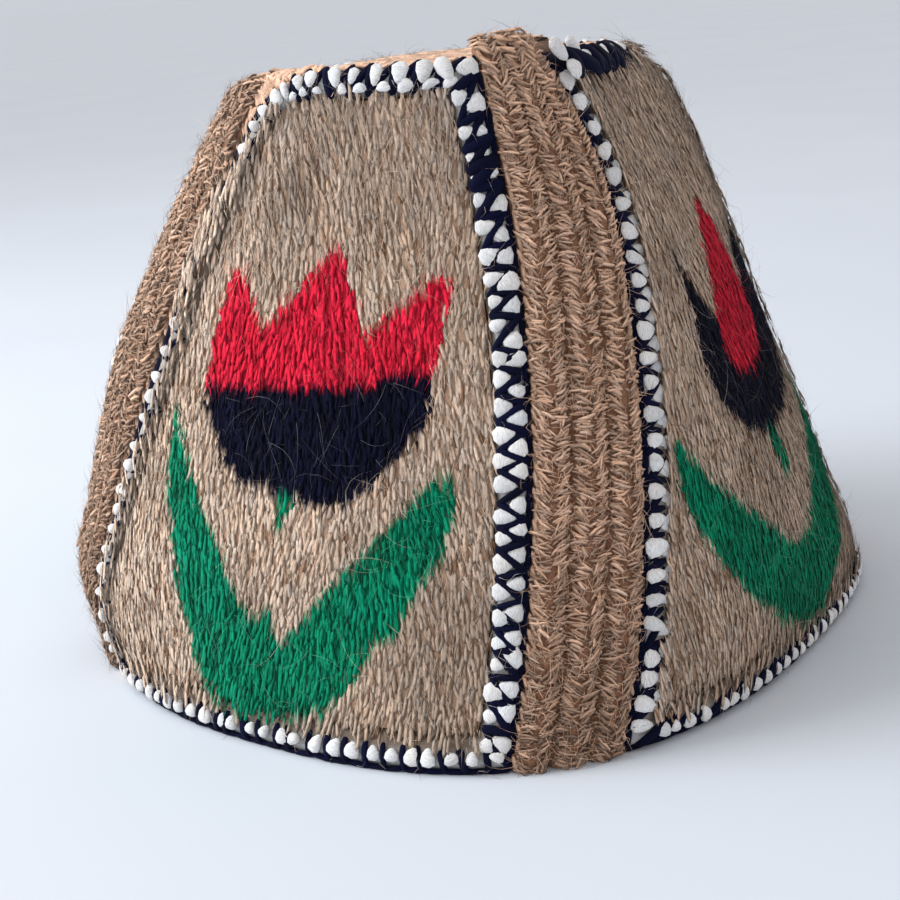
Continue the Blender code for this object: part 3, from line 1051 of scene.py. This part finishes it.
def stitch_side(heap, rng, path, depth_at, place, row):
    """One side of an edging: navy cords to and fro, whites between them and a navy line outside."""
    navy = settings().navy
    length = path.lengths[place]
    stitches = int(round(length / (settings().whip_pitch * row.pitch)))
    outer = np.arange(stitches) + row.start + rng.normal(0, 0.11, stitches)
    inner = outer + row.slant + rng.normal(0, 0.07, stitches)
    tight = row.crowd * np.exp(-(((outer / stitches - TIGHT_AT) / TIGHT_REACH) ** 2))
    there, again = (outer, inner, STITCH_EDGE, row.far), (inner[:-1], outer[1:], row.far, STITCH_EDGE)
    for first, last, start, end in (there, again) if row.back else (there,):
        deep = depth_at(*path.shares(place + (first + last) / 2 / stitches, EDGING_WIDTH / 2))
        first, last = first[deep < COVERED], last[deep < COVERED]
        a, b = (
            path.at(t, inset, EDGING_RISE + corner_lift(row, t)
                    - DIP * (depth_at(*path.shares(t, inset)) > COVERED))[0]
            for t, inset in ((place + first / stitches, start), (place + last / stitches, end))
        )
        out = path.at(place + (first + last) / 2 / stitches, EDGING_WIDTH / 2, 0.0)[3]
        span = b - a
        reach = np.linalg.norm(span, axis=1)
        y = span / reach[:, None]
        out = unit(out - y * np.sum(out * y, axis=1, keepdims=True))
        crowd = np.interp((first + last) / 2, outer, tight)
        width = row.cord * rng.uniform(0.75, 1.2, len(a)) * (1 + 0.7 * crowd)
        size = np.stack([width, reach + 0.0012, width], axis=1)
        heap.copies(strand(6, 6, 0.55), (a + b) / 2 - out * 0.0006, np.cross(y, out), y, size,
                    varied(rng, navy, len(a), 0.15, 0.03), arch=0.0010)
    for whites, middle, facing in ((row.outer, (outer + inner) / 2, 1), (row.inner, outer, -1)):
        if whites:
            stitch_whites(heap, rng, path, depth_at, place, row, whites, facing, middle, tight)
    if row.line:
        number = int(length / row.line.pitch)
        spot, along, away, _ = path.at(place + (np.arange(number) + 0.5) / number, row.line.inset, 0.0)
        y, x = turned(along, away, rng.normal(0, 0.08, number))
        size = sizes(rng, number, (row.line.width,), (1.0, 0.0058, 0.0070), (row.line.thick,))
        heap.copies(strand(5, 5, 0.7), spot, x, y, size, varied(rng, navy, number, 0.15, 0.03))


def fill_corners(heap, rng, patch, radii):
    """Brown strands outside the rounded corners of an edging."""
    for radius, right, high in ((radii.rim_left, False, False), (radii.rim_right, True, False),
                                (radii.top_right, True, True), (radii.top_left, False, True)):
        number = int(radius * radius * CORNER_STRANDS)
        aside, above = rng.uniform(0, radius, (2, number)) if number else np.zeros((2, 0))
        height = patch.reach - above if high else above
        width = patch.width_at(height)
        across = width - aside if right else aside
        open_wool = frame_inset(patch, across, height, radii) < 0.0006
        height, u = height[open_wool], (across / width)[open_wool]
        number = len(u)
        spot, x, y, _ = patch.at(u, height, rng.uniform(-0.0006, 0.0004, number))
        x, y = turned(x, y, rng.normal(0, 0.9, number))
        size = sizes(rng, number, (1.0, 0.0010, 0.0016), (1.0, 0.0035, 0.0055), (0.0012,))
        heap.copies(strand(4, 4, 0.8), spot, x, y, size, varied(rng, settings().brown, number, 0.22),
                    arch=0.0004)


def make_edging(side):
    """An edging's padding, its white stitches, its navy zig-zag and the navy line round it."""
    palette = settings()
    rng = np.random.default_rng(EDGING_SEED + side)
    patch = panel_patch(side)
    radii = CORNERS[side]
    path = Frame(patch, radii)
    square = Frame(patch, Corners(0.0, 0.0, 0.0, 0.0))
    heap = Heap()
    flat = math.cos(math.pi / 8)

    def padding(angle):
        inset = EDGING_WIDTH * (1 - math.cos(angle) / flat) / 2
        return inset, EDGING_RISE - 0.0004 - EDGING_WALL * (1 - math.sin(angle) / flat) / 2

    def backing(angle):
        inset = EDGING_WIDTH * (1 - math.cos(angle) / flat) / 2
        return inset, -0.0008 - 0.0015 * (1 - math.sin(angle) / flat)

    # Painted shade: the backing deep behind the edging is a dark brown
    def backing_tint(u, height):
        return np.broadcast_to(np.array(palette.brown) * 0.45, (len(u), 3))

    def depth_at(u, height):
        return pile_depth(patch, side, u * patch.width_at(height), height)[0]

    # Painted shade: the padding is drawn dark under the pile and as a greyed white between the stitches;
    # the navy at the second panel's top is its own colour
    def padding_tint(u, height):
        hidden = (depth_at(u, height) > 0)[:, None]
        shown = np.array(palette.white) * 0.6
        if side == 1:
            shown = np.where((height > patch.reach - EDGING_WIDTH)[:, None], palette.navy, shown)
        return np.where(hidden, np.array(palette.tan) * 0.25, shown)

    roll(heap, square, 24, 6, backing, backing_tint)
    roll(heap, path, 44, 8, padding, padding_tint)
    for place, row in enumerate(ROWS[side]):
        stitch_side(heap, rng, path, depth_at, place, row)
    if side == 1:
        t = np.array([2.985, 2.90])
        spot, along, away, _ = path.at(t, EDGING_WIDTH * 0.12, EDGING_RISE + corner_lift(SPARSE_ROW, t))
        x, y = turned(away, along, np.array([0.5, 0.3]))
        size = np.array([[0.0062, 0.0040, 0.0026], [0.0056, 0.0030, 0.0024]])
        heap.copies(puff(), spot, x, y, size, np.array(palette.white) * 0.97)
    fill_corners(heap, rng, patch, radii)
    t = rng.uniform(0, SIDES, palette.edging_hairs)
    inset = rng.uniform(0, EDGING_WIDTH, len(t))
    spots = [np.concatenate(group) for group in zip(*(
        path.at(t[i:i + 1], inset[i], EDGING_RISE + 0.0008) for i in range(len(t))))]
    choice = np.array([palette.tan, palette.white, palette.navy])[rng.integers(0, 3, len(t))]
    hairs(heap, rng, spots, choice, Hairs("edging_hairs", 1.5, 0.0035, 0.30, 2, 1.0, 0.0))
    heap.finish(f"edging_{side + 1}_whip", whip_yarn(), [f"edging_{side + 1}"])



def rib_rise(u):
    """How far the ribs of a band stand off its wall, a little more than in the frame."""
    return RIB_RISE * 1.5 * np.abs(np.sin(math.pi * RIBS * u)) ** 0.7


def make_band(side):
    """A band's ribbed wall, its chevrons of yarn, the chain at its edge and its loose fibres."""
    palette = settings()
    rng = np.random.default_rng(BAND_SEED + side)
    patch = band_patch(side)
    heap = Heap()

    def place(u, v, layer):
        return u, v * (patch.reach + 0.001), layer * (BAND_WALL - 0.0008 + rib_rise(u)) - BAND_WALL

    # Painted shade: the band's wall under its strands is darkened
    base(heap, patch, 24, 44, place,
         lambda u, v: np.broadcast_to(np.array(palette.brown) * BAND_UNDER_SHADE, (len(u), 3)))
    lanes = 2 * RIBS
    rows = int(patch.reach / palette.rib_pitch)
    chevron = strand(3, 4, 0.8)
    for layer in range(3):
        for lane in range(lanes):
            height = (np.arange(rows) + rng.uniform(0, 1)) * palette.rib_pitch + rng.normal(0, 0.0004, rows)
            height = np.clip(height, 0.0008, patch.reach)
            u = np.full(rows, (lane + 0.5) / lanes) + rng.normal(0, 0.022, rows)
            spot, across, up, out = patch.at(u, height, rib_rise(u) - 0.0006 + 0.0003 * layer)
            slope = 1.0 if lane % 2 else -1.0
            angle = slope * 0.55 + rng.normal(0, 0.34, rows) + 0.2 * np.sin(height * 170 + lane)
            y, x = turned(across, up, angle)
            y = unit(y - out * (slope * 0.20 + rng.normal(0, 0.08, rows))[:, None])
            x = -x
            thick = palette.rib_pitch * rng.uniform(0.50, 1.00, rows)
            size = np.stack([thick, BAND_WIDTH / lanes * rng.uniform(0.65, 1.2, rows), thick * 0.9], axis=1)
            tints = varied(rng, palette.brown, rows, 0.32, 0.03)
            # Painted shade: the strands are darker near the rim
            low = np.exp(-((height / HAT_HEIGHT / FOOT_SHADE_REACH) ** 2))
            shade = BAND_SHADES[side] * (1 - FOOT_SHADE * low)
            # Painted shade: strands low in the grooves between ribs are darker than those on the crests
            tints *= (shade * (0.60 + 0.44 * rib_rise(u) / rib_rise(0.5 / RIBS)))[:, None]
            heap.copies(chevron, spot, x, y, size, tints, arch=0.0003,
                        curl=up * rng.normal(0, 0.0005, rows)[:, None])
    number = int(patch.reach / CHAIN_PITCH)
    height = (np.arange(number) + 0.5) / number * patch.reach
    for u, shade in ((0.03, 1.35), (0.97, 0.95)):
        spot, across, up, out = patch.at(np.full(number, u), height, 0.0001)
        x, y = turned(across, up, rng.normal(0.18, 0.12, number))
        heap.copies(strand(4, 4, 0.75), spot, x, y, CHAIN_SIZE,
                    varied(rng, np.array(palette.brown) * shade, number, 0.14))
    heap.finish(f"band_{side + 1}_ribs", strand_wool(), [f"band_{side + 1}"])

    fuzz = Heap()
    for kind in BAND_HAIRS:
        number = getattr(palette, kind.count)
        u = rng.uniform(0.01, 0.99, number)
        spots = patch.at(u, rng.uniform(0.0, patch.reach, number), rib_rise(u) + 0.0003)
        # Band hairs are a lighter brown than the band: partly painted highlight of fibres catching the
        # light
        tints = varied(rng, np.array(palette.brown) * 1.25, number, 0.25)
        hairs(fuzz, rng, spots, tints, kind)
    fuzz.finish(f"band_{side + 1}_fuzz", strand_wool(), [])


def crown_place(u, v, layer):
    """Places on the crown from shares across and along it, raised at the corners to meet the panels."""
    x, y = 2 * u - 1, 2 * v - 1
    disc_x, disc_y = x * np.sqrt(1 - y * y / 2), y * np.sqrt(1 - x * x / 2)
    radius = np.minimum(np.hypot(disc_x, disc_y), 1.0)
    inset = TOP_BEND - 0.0006
    direction = np.arctan2(disc_x, -disc_y)
    edge = np.stack([np.interp(direction, TURN, OUTLINE[-1, :, axis]) for axis in range(3)], axis=1)
    ahead = np.stack(
        [np.interp(direction, TURN, np.gradient(OUTLINE[-1, :, axis])) for axis in range(2)], axis=1)
    ahead = unit(ahead)
    edge[:, 0] -= inset * ahead[:, 1]
    edge[:, 1] += inset * ahead[:, 0]
    middle = OUTLINE[-1, :-1].mean(axis=0)
    place = middle + (edge - middle) * radius[:, None]
    swing, left = CORNER_AT_TOP, LEFT_CORNER_AT_TOP
    turns = np.array([swing - 180, swing - 180, -left, -left, swing, swing, 180 - swing, 180 - swing])
    turns = np.radians(turns + np.tile([-7, 7], SIDES))
    ends = ((2, 1), (3, 0), (3, 1), (0, 0), (0, 1), (1, 0), (1, 1), (2, 0))
    starts = [min(TOP_STARTS[side][end] - TOP_STARTS[-1][-1], CROWN_RAISE) for side, end in ends]
    raised = np.interp(direction, turns, starts) * radius ** 4
    drop = 0.0012 - CROWN_DOME * (1 - radius * radius) - raised
    place[:, 2] = HAT_HEIGHT - drop + (layer - 1) * CROWN_WALL
    return place + SHIFT


def make_crown():
    """The closed top: a domed wall under rows of chevrons."""
    palette = settings()
    rng = np.random.default_rng(CROWN_SEED)
    heap = Heap()
    flat = slab(24, 24)
    u, v, layer = flat.points.T
    grain = np.stack([u * 0.1, v * 0.1, layer], axis=1)
    points = crown_place(u, v, layer)
    points[:, 2] -= 0.0006 * layer
    # Painted shade: the crown's wall under its chevrons is a dark brown, for the shade between them
    heap.add(points, flat.faces, np.broadcast_to(np.array(palette.brown) * 0.35, (len(u), 3)), grain)
    lanes, rows = 18, 62
    lane, row = (grid.ravel() for grid in np.meshgrid(np.arange(lanes), np.arange(rows)))
    number = len(lane)
    u = (lane + 0.5) / lanes + rng.normal(0, 0.004, number)
    v = (row + 0.5) / rows + rng.normal(0, 0.003, number)
    u, v = np.clip(u, 0.02, 0.98), np.clip(v, 0.02, 0.98)
    step, top = 0.01, np.ones(number)
    spot = crown_place(u, v, top)
    across = unit(crown_place(u + step, v, top) - crown_place(u - step, v, top))
    along = unit(crown_place(u, v + step, top) - crown_place(u, v - step, top))
    slope = np.where(lane % 2 == 0, -1.0, 1.0)
    out = unit(np.cross(across, along))
    along = unit(np.cross(out, across))
    y, x = turned(across, along, slope * 0.5 + rng.normal(0, 0.16, number))
    y = unit(y - out * (slope * 0.15)[:, None])
    x = -x
    size = sizes(rng, number, (0.0018, 0.75, 1.15), (0.0062, 0.9, 1.3), (0.0017, 0.9, 1.2))
    heap.copies(strand(4, 4, 0.75), spot, x, y, size,
                varied(rng, palette.brown, number, 0.24, 0.03))
    heap.finish("crown_top_ribs", strand_wool(), ["crown_top"])


class WOOLHAT_OT_panels(bpy.types.Operator):
    """Make the four panels of brushed strands with their tulips"""

    bl_idname = "wool_hat.panels"
    bl_label = "Panels"

    def execute(self, context):
        for side in range(SIDES):
            make_panel(side)
        return {"FINISHED"}


class WOOLHAT_OT_edgings(bpy.types.Operator):
    """Make the navy and white whipped edging round each panel"""

    bl_idname = "wool_hat.edgings"
    bl_label = "Edgings"

    def execute(self, context):
        for side in range(SIDES):
            make_edging(side)
        return {"FINISHED"}


class WOOLHAT_OT_bands(bpy.types.Operator):
    """Make the four ribbed bands over the corners"""

    bl_idname = "wool_hat.bands"
    bl_label = "Bands"

    def execute(self, context):
        for side in range(SIDES):
            make_band(side)
        return {"FINISHED"}


class WOOLHAT_OT_crown(bpy.types.Operator):
    """Make the closed top"""

    bl_idname = "wool_hat.crown"
    bl_label = "Crown"

    def execute(self, context):
        make_crown()
        return {"FINISHED"}


# The stage

CAMERA_PLACE = Vector((0.2308, -0.3270, 0.1643))
CAMERA_AZIMUTH = 35.87
CAMERA_YAW = 0.30
CAMERA_PITCH = 17.22
CAMERA_ROLL = -4.94
FOCAL_SHARE = 1.7083
SENSOR_WIDTH = 36.0
DAYLIGHT = (0.93, 0.97, 1.0)
FLOOR_COLOURS = ((0.600, 0.640, 0.705, 1.0), (0.645, 0.690, 0.750, 1.0))
SKY_LOW = (0.590, 0.625, 0.682, 1.0)
SKY_HIGH = (0.715, 0.695, 0.690, 1.0)


def placed(data, matrix):
    """An object of the scene for a camera or a light, at a place and turn."""
    item = bpy.data.objects.new(data.name, data)
    item.matrix_world = matrix
    bpy.context.scene.collection.objects.link(item)
    return item


def aimed(data, place, target):
    """A light at a place, aimed at a target."""
    turn = (Vector(target) - Vector(place)).to_track_quat("-Z", "Y").to_matrix().to_4x4()
    return placed(data, Matrix.Translation(place) @ turn)


def add_camera():
    """A camera at the photograph's place, turn and focal length."""
    camera = bpy.data.cameras.new("camera")
    camera.sensor_width = SENSOR_WIDTH
    camera.lens = FOCAL_SHARE * SENSOR_WIDTH
    camera.clip_start = 0.01
    aim = Matrix.Rotation(math.radians(CAMERA_AZIMUTH - CAMERA_YAW), 4, "Z")
    tilt = Matrix.Rotation(math.radians(90 - CAMERA_PITCH), 4, "X")
    roll = Matrix.Rotation(math.radians(CAMERA_ROLL), 4, "Z")
    bpy.context.scene.camera = placed(camera, Matrix.Translation(CAMERA_PLACE) @ aim @ tilt @ roll)


def add_sun(name, place, power, softness):
    """A soft light from a direction, as wide in the sky as an angle in degrees."""
    light = bpy.data.lights.new(name, "SUN")
    light.energy = power
    light.color = DAYLIGHT
    light.angle = math.radians(softness)
    aimed(light, place, (0, 0, 0))


def add_panel(name, place, size, power):
    """A soft round light at a place, aimed at the hat."""
    light = bpy.data.lights.new(name, "AREA")
    light.shape = "DISK"
    light.size = size
    light.energy = power
    light.color = DAYLIGHT
    aimed(light, place, (0, 0, 0.07))


class WOOLHAT_OT_stage(bpy.types.Operator):
    """Make the pale floor, the soft lights and the camera"""

    bl_idname = "wool_hat.stage"
    bl_label = "Stage"

    def execute(self, context):
        mesh = bpy.data.meshes.new("floor")
        bm = bmesh.new()
        bmesh.ops.create_grid(bm, x_segments=1, y_segments=1, size=30.0)
        bm.to_mesh(mesh)
        bm.free()
        material = bpy.data.materials.new("pale floor")
        material.use_nodes = True
        shader = material.node_tree.nodes["Principled BSDF"]
        set_inputs(shader, {"Roughness": 0.9, "Specular IOR Level": 0.2})
        ramp = wire(material.node_tree, (
            ("where", "ShaderNodeTexCoord", {}, {}),
            ("noise", "ShaderNodeTexNoise", {}, {"Scale": 6.0}),
            ("ramp", "ShaderNodeValToRGB", {}, {}),
        ), (
            ("where", "Object", "noise", "Vector"),
            ("noise", "Fac", "ramp", "Fac"),
            ("ramp", "Color", "shader", "Base Color"),
        ), shader=shader)["ramp"].color_ramp
        for element, colour in zip(ramp.elements, FLOOR_COLOURS):
            element.color = colour
        mesh.materials.append(material)
        floor = bpy.data.objects.new("floor", mesh)
        context.scene.collection.objects.link(floor)
        world = bpy.data.worlds.new("studio")
        world.use_nodes = True
        wire(world.node_tree, (
            ("where", "ShaderNodeTexCoord", {}, {}),
            ("split", "ShaderNodeSeparateXYZ", {}, {}),
            ("height", "ShaderNodeMapRange", {}, {"From Max": 0.12}),
            ("sky", "ShaderNodeMix", {"data_type": "RGBA"}, {"A": SKY_LOW, "B": SKY_HIGH}),
        ), (
            ("where", "Generated", "split", "Vector"),
            ("split", "Z", "height", "Value"),
            ("height", "Result", "sky", "Factor"),
            ("sky", "Result", "background", "Color"),
        ), background=world.node_tree.nodes["Background"])
        context.scene.world = world
        context.scene.view_settings.view_transform = "Standard"
        add_sun("key", (-1.2, -0.6, 1.3), 1.0, 60.0)
        add_panel("window", (-0.68, -0.52, 0.60), 0.6, 8.2)
        add_camera()
        return {"FINISHED"}


class WOOLHAT_PT_sidebar(bpy.types.Panel):
    """Lists the steps that make the hat"""

    bl_idname = "WOOLHAT_PT_sidebar"
    bl_label = "Wool hat"
    bl_space_type = "VIEW_3D"
    bl_region_type = "UI"
    bl_category = "Wool hat"

    def draw(self, context):
        for operator in OPERATORS:
            self.layout.operator(operator.bl_idname)
        for name in HatSettings.__annotations__:
            self.layout.prop(context.scene.wool_hat, name)


OPERATORS = (
    WOOLHAT_OT_stage,
    WOOLHAT_OT_panels,
    WOOLHAT_OT_edgings,
    WOOLHAT_OT_bands,
    WOOLHAT_OT_crown,
)
CLASSES = (HatSettings, *OPERATORS, WOOLHAT_PT_sidebar)


def register():
    for item in CLASSES:
        bpy.utils.register_class(item)
    bpy.types.Scene.wool_hat = PointerProperty(type=HatSettings)


def unregister():
    del bpy.types.Scene.wool_hat
    for item in reversed(CLASSES):
        bpy.utils.unregister_class(item)


def main():
    register()
    bpy.ops.wool_hat.stage()
    bpy.ops.wool_hat.panels()
    bpy.ops.wool_hat.edgings()
    bpy.ops.wool_hat.bands()
    bpy.ops.wool_hat.crown()


if __name__ == "__main__":
    main()
